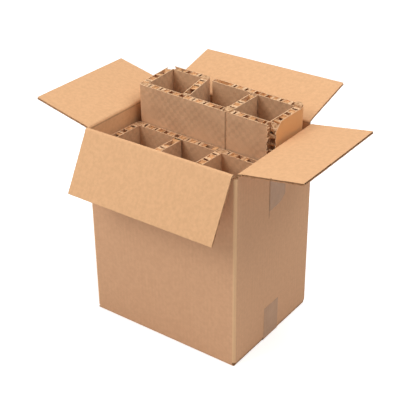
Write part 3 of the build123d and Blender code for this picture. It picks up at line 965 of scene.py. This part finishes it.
# ------------------------------------------------------------ honeycomb inserts
def unit(v):
    return v / np.linalg.norm(v)


def left_of(v):
    return np.array((-v[1], v[0]))


INSERTS = {
    "rear": {
        "place": (2.5, 59.6), "turn": -1.43, "bottom": PAD_TOP + RAISED, "flip": 1, "splay": 8.0,
        "left_divider": (-66.5, -48.0), "right_divider": (49.5, 48.0), "long_end": -47.0, "droop": 5.0,
        "torn_corner": 19.0,
    },
    "front": {
        "place": (-1.5, -51.4), "turn": -2.2, "bottom": PAD_TOP, "flip": -1, "splay": 0.0,
        "left_divider": (-40.0, -39.0), "right_divider": (50.0, 50.0), "long_end": -32.0, "droop": 0.0,
        "torn_corner": 5.0,
    },
}
HALF_LONG, HALF_SHORT, MIDDLE = 147.0, 54.0, 7.25
DIVIDER_TIP = 14.5 + 2.5 - HALF_SHORT
CORE_CLEAR = 12.8 * MM  # depth of the cells that a panel's open end cuts


def strip_routes(insert):
    """Middle lines of an insert's two strips, and where the left strip's core ends."""
    (left_root, left_tip), (right_root, right_tip) = insert["left_divider"], insert["right_divider"]
    side_y, left_x = HALF_SHORT - MIDDLE, MIDDLE - HALF_LONG
    tongue_x = right_root - MIDDLE + WIDE_FOLD / MM - 4.5
    return {
        "left": [(tongue_x, -side_y), (left_x, -side_y), (left_x - insert["splay"], side_y),
                 (left_root, side_y), (left_tip, DIVIDER_TIP)],
        "right": [(insert["long_end"], side_y), (-left_x, side_y), (-left_x, -side_y),
                  (right_root, -side_y), (right_tip, -DIVIDER_TIP)],
    }


class Strip:
    """A folded strip of honeycomb board, drawn in its insert's plan in metres."""

    def __init__(self, row, side):
        self.insert = INSERTS[row]
        self.low = self.insert["bottom"]
        self.high = self.low + INSERT_HEIGHT
        self.route = [np.array(p) * MM for p in strip_routes(self.insert)[side]]
        self.fold_radius = SOFT_FOLD if side == "left" else WIDE_FOLD
        self.tongue = 10.3 * MM if side == "left" else 0.0
        self.ahead = [unit(b - a) for a, b in zip(self.route, self.route[1:])]
        self.seed = len(row) + 3.7 * len(side)
        self.inner = {}
        for i in (1, 2, 3):
            mitre = unit(left_of(self.ahead[i - 1]) + left_of(self.ahead[i]))
            reach = HONEYCOMB / 2 / mitre.dot(left_of(self.ahead[i]))
            self.inner[i] = self.route[i] - mitre * reach

    def world(self, point, z):
        """A point of the plan at a height. The insert hangs lower towards its right end."""
        turn = radians(self.insert["turn"])
        x, y = point[0], point[1] * self.insert["flip"]
        left, front = (p * MM for p in self.insert["place"])
        return (left + x * cos(turn) - y * sin(turn), front + x * sin(turn) + y * cos(turn), z - self.drop(x))

    def drop(self, x):
        return self.insert["droop"] * MM * (x / (2 * HALF_LONG * MM) + 0.5)

    def panel(self, i):
        """Start and end of a panel's core on the inner side, and its direction."""
        ahead, side = self.ahead[i], left_of(self.ahead[i])
        start = self.inner.get(i, self.route[i] - side * HONEYCOMB / 2 + ahead * self.tongue * (i == 0))
        end = self.inner.get(i + 1, self.route[i + 1] - side * HONEYCOMB / 2)
        return start, end, ahead, side


def bitten(level, reach, seed):
    """How far a facing reaches past the opened fold at a level: torn back between the cells."""
    bite = 1.7 * MM * (1 - cos(2 * pi * (level - INSERT_HEIGHT) / CELL_RISE))
    return reach - bite + 2.2 * MM * ripple((level, 0, 0), 0.008, seed=seed)


def facing_sheet(strip, path, offset_side, tone, slot, torn_end=0):
    """A facing that follows a path in plan, with torn top and bottom edges. Its other face lies one
    facing's thickness to the given side of the path. torn_end is -1 or 1 where the start or the end
    of the path is torn from the opened fold."""
    joint = torn_end > 0 and strip.tongue > 0
    points = [path[0]]
    if joint:
        points.append(path[0] + unit(path[1] - path[0]) * 1.3 * MM)
        path = [points[-1], *path[1:]]
    for a, b in zip(path, path[1:]):
        count = max(1, round(np.linalg.norm(b - a) / (2.4 * MM)))
        points += [a + (b - a) * k / count for k in range(1, count + 1)]
    points = np.array(points)
    normals = []
    for k in range(len(points)):
        before = unit(points[max(k, 1)] - points[max(k, 1) - 1])
        after = unit(points[min(k + 1, len(points) - 1)] - points[min(k, len(points) - 2)])
        mitre = unit(left_of(before) + left_of(after))
        normals.append(mitre / max(0.5, mitre.dot(left_of(after))) * offset_side)
    travelled = np.concatenate([[0], np.cumsum(np.linalg.norm(np.diff(points, axis=0), axis=1))])
    levels = np.array([0, 0.9, 2.2, 5, *spread(10, 321, 4.2 if torn_end else 44), 326, 328.8, 330.1, 331]) * MM
    front = np.zeros((len(levels), len(points), 3))
    back, uv = front.copy(), np.zeros((len(levels), len(points), 2))
    edge = np.zeros((len(levels), len(points)))
    corner_dip = strip.insert["torn_corner"] * MM if torn_end > 0 and not strip.tongue else 0.0
    reach = 3.0 * MM if torn_end > 0 else 6.5 * MM
    for c, (point, normal) in enumerate(zip(points, normals)):
        s = travelled[c]
        dip = corner_dip * max(0.0, 1 - (travelled[-1] - s) / (16 * MM)) ** 1.6
        end_gap = min(s, travelled[-1] - s)
        for r, level in enumerate(levels):
            gap = min(level, INSERT_HEIGHT - level)
            near = max(0.0, 1 - gap / (3 * MM))
            torn = 0.5 * MM * (1 + ripple((s, level > 0.1, 0), 0.005, seed=strip.seed + offset_side))
            torn += 0.3 * MM * (1 + ripple((s, level > 0.1, 0), 0.0016, seed=strip.seed))
            z = level * (1 - dip / INSERT_HEIGHT) + (torn if level < 0.1 else -torn) * (near > 0.99)
            curl = -0.55 * MM * near * max(0.0, ripple((s, level > 0.1, 0), 0.009, seed=strip.seed * 2))
            wave = 0.12 * MM * ripple((s, level, 0), 0.03, seed=strip.seed)
            thin = 1 + 0.9 * near ** 2
            at = point + normal * (curl + wave)
            if torn_end:
                to_end = travelled[-1] - s if torn_end > 0 else s
                pull = max(0.0, 1 - to_end / (9 * MM)) * torn_end
                at = at + unit(path[-1] - path[-2] if torn_end > 0 else path[1] - path[0]) * (
                    pull * bitten(level, reach, strip.seed + torn_end)
                )
            front[r, c] = strip.world(at, strip.low + z)
            back[r, c] = strip.world(at + normal * FACING * thin, strip.low + z)
            uv[r, c] = s, level
            torn_side = 1 - min(1.0, (end_gap if torn_end else INSERT_HEIGHT) / (2 * MM))
            edge[r, c] = max(1 - min(1.0, gap / (2.6 * MM)), torn_side)
            # painted shade of the slit at the tongue, with glue along it: a dark line through a negative edge value
            if joint and s < 1.5 * MM:
                edge[r, c] = -1
    return sheet_part(front, back, uv, (slot, 4, 2), edge, tone)


def outer_paths(strip):
    """The outside facing in two runs, each with a rounded fold. Between them it is cut away."""
    paths = []
    for first in (0, 2):
        (a, b, c), out = strip.route[first:first + 3], []
        one, two = strip.ahead[first], strip.ahead[first + 1]
        n1, n2 = left_of(one), left_of(two)
        start = strip.inner[2] + n1 * HONEYCOMB if first == 2 else a + n1 * HONEYCOMB / 2
        end = strip.inner[2] + n2 * HONEYCOMB if first == 0 else c + n2 * HONEYCOMB / 2
        mitre = unit(n1 + n2)
        corner = b + mitre * HONEYCOMB / 2 / mitre.dot(n1)
        turn = np.arccos(np.clip(n1.dot(n2), -1, 1))
        back_off = strip.fold_radius * tan(turn / 2)
        centre = corner - one * back_off - n1 * strip.fold_radius
        from_angle = np.arctan2(n1[1], n1[0])
        out = [start]
        for t in np.linspace(0, 1, 8):
            angle = from_angle - turn * t
            out.append(centre + strip.fold_radius * np.array((cos(angle), sin(angle))))
        out.append(end)
        paths.append(out)
    return paths


def inner_path(strip):
    """The inside facing, which runs through all three folds."""
    start, _, _, _ = strip.panel(0)
    _, end, _, _ = strip.panel(3)
    return [start, strip.inner[1], strip.inner[2], strip.inner[3], end]


def crushed_corner(strip, i, outline):
    """The crushed core in a rounded fold, a little below the cut edges."""
    one, two = strip.ahead[i - 1], strip.ahead[i]
    n1, n2 = left_of(one), left_of(two)
    inner, skin, lap = strip.inner[i], 0.8 * FACING, 2.2 * MM
    arc_points = [p for p in outline[1:-1]]
    middle = sum(arc_points) / len(arc_points)
    shrunk = [p + (inner - p) / np.linalg.norm(inner - p) * skin for p in arc_points]
    far = HONEYCOMB - skin
    ring = [inner - one * lap + n1 * skin, inner + unit(middle - inner) * skin, inner + two * lap + n2 * skin,
            inner + two * lap + n2 * far, *shrunk[::-1], inner - one * lap + n1 * far]
    points = [strip.world(p, 0)[:2] for p in ring]
    tops = [strip.high - 1.4 * MM - 0.8 * MM * abs(ripple((*p, 0), 0.004, seed=strip.seed)) for p in points]
    return block_part(points, [strip.low + 1.5 * MM] * len(points), tops, 3)


def torn_core(strip):
    """Crushed core that shows where the facing is torn away beside the opened fold."""
    _, end, ahead, side = strip.panel(1)
    skin, dip = 0.8 * FACING, strip.insert["torn_corner"] * MM
    ring = [(-17, skin), (-9, skin), (-1.5, skin), (-0.5, HONEYCOMB / 2), (-2, HONEYCOMB - skin),
            (-9, HONEYCOMB - skin), (-17, HONEYCOMB - skin)]
    points = [end + ahead * s * MM + side * w for s, w in ring]
    plan = [strip.world(p, 0)[:2] for p in points]
    tops = []
    for p, (s, w) in zip(points, ring):
        sunk = dip * max(0.0, 1 + s / 16) ** 1.6 * w / HONEYCOMB
        tops.append(strip.world(p, strip.high)[2] - 2.2 * MM - sunk - 1 * MM * abs(ripple((*p, 0), 0.005)))
    return block_part(plan, [top - 9 * MM for top in tops], tops, 3)


def core_filler(strip, i):
    """The closed core of a panel, below the cells that its edges open."""
    start, end, ahead, side = strip.panel(i)
    opened_start, opened_end = i in (0, 2), i in (1, 3)
    a = start + ahead * (CORE_CLEAR if opened_start else 0.0)
    b = end - ahead * (CORE_CLEAR if opened_end else 0.0)
    skin = 0.8 * FACING
    corners = [a + side * skin, b + side * skin, b + side * (HONEYCOMB - skin), a + side * (HONEYCOMB - skin)]
    points = [strip.world(p, 0)[:2] for p in corners]
    depth = CORE_CLEAR
    return block_part(points, [strip.low + depth] * 4, [strip.high - depth] * 4, 3)


def paper_cell(name, outlines, width):
    """Core walls as bands of paper of one width, on outlines with their cut edge upwards."""
    verts, faces = [], []
    for outline in outlines:
        base = len(verts)
        for x, y in outline:
            verts += [(x * MM, y * MM, -width / 2), (x * MM, y * MM, width / 2)]
        faces += [(base + 2 * k, base + 2 * k + 2, base + 2 * k + 3, base + 2 * k + 1) for k in range(len(outline) - 1)]
    mesh = bpy.data.meshes.new(name)
    mesh.from_pydata(verts, [], faces)
    return bpy.data.objects.new(name, mesh)


DIP, SIDE, RISE = CELL_DIP / MM, CELL / MM, CELL_RISE / MM
LIP_X = SIDE - DIP / sqrt(3)
CORE_WIDTH, LIP_WIDTH = HONEYCOMB - 1.4 * FACING, HONEYCOMB - 3.4 * FACING
edge_cell = paper_cell("edge_cell", [
    [(-LIP_X, DIP), (-SIDE, 0), (-SIDE / 2, -RISE / 2), (SIDE / 2, -RISE / 2), (SIDE, 0), (LIP_X, DIP)],
    [(-15.2, 0.2), (-SIDE + 0.3, 0.2)],
    [(SIDE - 0.3, 0.2), (15.2, 0.2)],
], CORE_WIDTH)
crushed_lips = paper_cell("crushed_lips", [
    [(-LIP_X - 1.4, DIP - 1.6), (-LIP_X + 0.6, DIP - 0.4), (-3.4, DIP - 0.5), (-1.5, DIP - 1.3)],
    [(2.4, DIP - 1.9), (4.2, DIP - 0.7), (LIP_X, DIP - 0.4), (LIP_X + 1.4, DIP - 1.6)],
], LIP_WIDTH)
narrow_lips = paper_cell("narrow_lips", [
    [(-LIP_X - 2.2, DIP - 2.0), (-LIP_X, DIP - 0.5), (-LIP_X + 1.6, DIP - 0.8)],
    [(LIP_X - 1.2, DIP - 0.9), (LIP_X + 0.2, DIP - 0.4), (LIP_X + 2.2, DIP - 2.0)],
], LIP_WIDTH)
end_cell = paper_cell("end_cell", [
    [(-RISE / 2, DIP), (-RISE / 2, -SIDE / 2), (0, -SIDE), (RISE / 2, -SIDE / 2)],
], CORE_WIDTH)
end_lips = paper_cell("end_lips", [
    [(-RISE / 2 - 0.4, 0.4), (-RISE / 2, DIP), (-RISE / 2 + 1.6, DIP + 1.5), (-RISE / 2 + 3.6, DIP + 0.9),
     (-RISE / 2 + 4.6, DIP - 0.8)],
    [(RISE / 2 + 0.2, 1.2), (RISE / 2 - 1.6, DIP - 0.6), (RISE / 2 - 2.4, 0.6)],
], LIP_WIDTH)
cores = core_tree()


def core_points(strip):
    """Where the opened cells lie, and how each is turned: along the cut edges and the open ends."""
    flip = strip.insert["flip"]
    edge_points, end_points = [], []
    for i in range(4):
        start, end, ahead, side = strip.panel(i)
        opened_start, opened_end = i in (0, 2), i in (1, 3)
        length = np.linalg.norm(end - start)
        middle = side * HONEYCOMB / 2
        low_end = (CELL_DIP + 3 * CELL) if opened_start else CELL + 1 * MM
        high_end = length - ((CELL_DIP + 3 * CELL) if opened_end else CELL + 1 * MM)
        count = floor((high_end - low_end) / (3 * CELL)) + 1
        slack = (high_end - low_end) - 3 * CELL * (count - 1)
        first = low_end + (slack if opened_start and not opened_end else 0 if opened_end else slack / 2)
        here, there = Vector(strip.world(start, 0)), Vector(strip.world(end, 0))
        along = (there - here).normalized()
        for k in range(count):
            s = first + 3 * CELL * k
            for z, up in ((strip.high - CELL_DIP, 1), (strip.low + CELL_DIP, -1)):
                x_axis, y_axis = along * up, Vector((0, 0, up))
                edge_points.append((strip.world(start + ahead * s + middle, z), x_axis, y_axis))
        for opened, at, outward in ((opened_start, CELL_DIP, -along), (opened_end, length - CELL_DIP, along)):
            levels = int(INSERT_HEIGHT / CELL_RISE) if opened else 0
            for k in range(levels):
                z = strip.high - CELL_RISE * (k + 0.5)
                end_points.append((strip.world(start + ahead * at + middle, z), Vector((0, 0, flip)), outward))
    return edge_points, end_points


def core_part(strip, cell, points, seed, crush, skew, wobble, slot):
    """Grows one kind of core paper on its points, and trims it level with the cut edges."""
    base = bpy.data.meshes.new("core_points")
    base.from_pydata([p for p, _, _ in points], [], [])
    turn = base.attributes.new("turn", "FLOAT_VECTOR", "POINT")
    for k, (_, x_axis, y_axis) in enumerate(points):
        axes = Matrix((x_axis, y_axis, x_axis.cross(y_axis))).transposed()
        turn.data[k].vector = axes.to_euler()
    mesh = grow(cores, base, {
        "Cell": cell, "Crush": crush, "Skew": radians(skew), "Wobble": wobble,
        "Paper": CORE_PAPER, "Seed": seed, "Finish": core_paper_with_pocket_shade,
    })
    part = mesh_part(mesh, Matrix.Identity(4), slot)
    verts, trim = part[0], 0.15 * MM
    fallen = strip.drop(verts[:, 0] - strip.insert["place"][0] * MM)
    verts[:, 2] = np.clip(verts[:, 2], strip.low - fallen + trim, strip.high - fallen - trim)
    return part


def make_strip(row, side, seed):
    strip = Strip(row, side)
    tones = (1.0, 0.0) if (row, side) == ("rear", "right") else (0.0, 0.0)
    parts = [
        facing_sheet(strip, path, -1, tone, 0, torn_end)
        for path, tone, torn_end in zip(outer_paths(strip), tones, (1, -1))
    ]
    parts.append(facing_sheet(strip, inner_path(strip), 1, 0.0, 1))
    parts += [core_filler(strip, i) for i in range(4)]
    parts += [crushed_corner(strip, i, path) for i, path in zip((1, 3), outer_paths(strip))]
    if side == "right":
        parts.append(torn_core(strip))
    edge_points, end_points = core_points(strip)
    crushed = [point for k, point in enumerate(edge_points) if (k // 2 + seed) % 5 < 3]
    opened = [point for point in edge_points if point not in crushed]
    parts += [
        core_part(strip, edge_cell, edge_points, seed, 0.07, 4, 2.0 * MM, 5),
        core_part(strip, crushed_lips, crushed, seed + 2, 0.12, 5, 3.0 * MM, 2),
        core_part(strip, narrow_lips, opened, seed + 3, 0.12, 5, 3.0 * MM, 2),
        core_part(strip, end_cell, end_points, seed + 1, 0.12, 9, 4.0 * MM, 5),
        core_part(strip, end_lips, end_points, seed + 4, 0.35, 24, 9.0 * MM, 2),
    ]
    node = f"{row}_insert_{side}_strip"
    finishes = [facing, inner_facing, torn_paper, crushed_core, inner_facing, core_paper_with_pocket_shade]
    make_piece(f"{node}_board", parts, finishes, "carton", replaces=[node])


for number, (row_name, side_name) in enumerate(
    ((r, s) for r in ("rear", "front") for s in ("left", "right"))
):
    make_strip(row_name, side_name, 11 + 10 * number)

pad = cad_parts["bottom_pad"]
pad.data.materials.clear()
pad.data.materials.append(paper_finish("pad_liner", srgb(150, 116, 86), srgb(184, 146, 110), 30.0))


# ------------------------------------------------------------ camera
def aim_camera(place, azimuth, elevation, roll, lens):
    """A camera that looks along the given angles. Azimuth 0 looks along +Y, with +X to the right."""
    turn, tip, tilt = radians(azimuth), radians(elevation), radians(roll)
    back = Vector((sin(turn) * cos(tip), -cos(turn) * cos(tip), sin(tip)))
    level = Vector((cos(turn), sin(turn), 0))
    upright = back.cross(level)
    right = level * cos(tilt) + upright * sin(tilt)
    above = upright * cos(tilt) - level * sin(tilt)
    data = bpy.data.cameras.new("camera")
    data.lens = lens
    camera = bpy.data.objects.new("camera", data)
    bpy.context.scene.collection.objects.link(camera)
    turned = Matrix((right, above, back)).transposed().to_4x4()
    camera.matrix_world = Matrix.Translation(place) @ turned
    bpy.context.scene.camera = camera


aim_camera((0.92512, -1.26381, 1.11693), azimuth=36.24, elevation=29.39, roll=-0.62, lens=87.9)


# ------------------------------------------------------------ studio
SKY_LIGHT = 0.4  # how brightly the plain studio lights the object from all sides


def looked_at(tree):
    """1 where the camera sees the studio, straight on or in a shiny or clear surface."""
    path = tree.nodes.new("ShaderNodeLightPath").outputs
    shiny_or_clear = math_node(tree, "MAXIMUM", path["Is Glossy Ray"], path["Is Transmission Ray"])
    return math_node(tree, "MAXIMUM", path["Is Camera Ray"], shiny_or_clear)


def studio_floor():
    """A pale floor, white where the camera sees it, that keeps the object's shadow."""
    size = 4.0
    mesh = bpy.data.meshes.new("studio_floor")
    mesh.from_pydata([(-size, -size, 0), (size, -size, 0), (size, size, 0), (-size, size, 0)], [], [(0, 1, 2, 3)])
    floor_plane = bpy.data.objects.new("studio_floor", mesh)
    bpy.context.scene.collection.objects.link(floor_plane)
    material, tree, shader = new_material("studio_floor", 0.9)
    shader.inputs["Base Color"].default_value = (0.86, 0.86, 0.86, 1)
    shader.inputs["Emission Color"].default_value = (1, 1, 1, 1)
    tree.links.new(share(tree, looked_at(tree), 0.52), shader.inputs["Emission Strength"])
    mesh.materials.append(material)


def soft_lamp(name, place, target, size, power):
    data = bpy.data.lights.new(name, "AREA")
    data.size = size
    data.energy = power
    lamp = bpy.data.objects.new(name, data)
    lamp.location = place
    lamp.rotation_euler = (Vector(target) - Vector(place)).to_track_quat("-Z", "Y").to_euler()
    bpy.context.scene.collection.objects.link(lamp)


studio_floor()
world = bpy.data.worlds.new("studio")
bpy.context.scene.world = world
world.use_nodes = True
sky = world.node_tree.nodes["Background"].inputs
sky["Color"].default_value = (1, 1, 1, 1)
world.node_tree.links.new(
    math_node(world.node_tree, "MAXIMUM", looked_at(world.node_tree), SKY_LIGHT), sky["Strength"]
)
middle_of_box = (0, 0, 0.25)
soft_lamp("key", (-1.2, -1.7, 2.0), middle_of_box, 1.4, 34)
soft_lamp("top", (0.9, 0.3, 2.4), middle_of_box, 1.6, 30)
bpy.context.scene.view_settings.view_transform = "Standard"
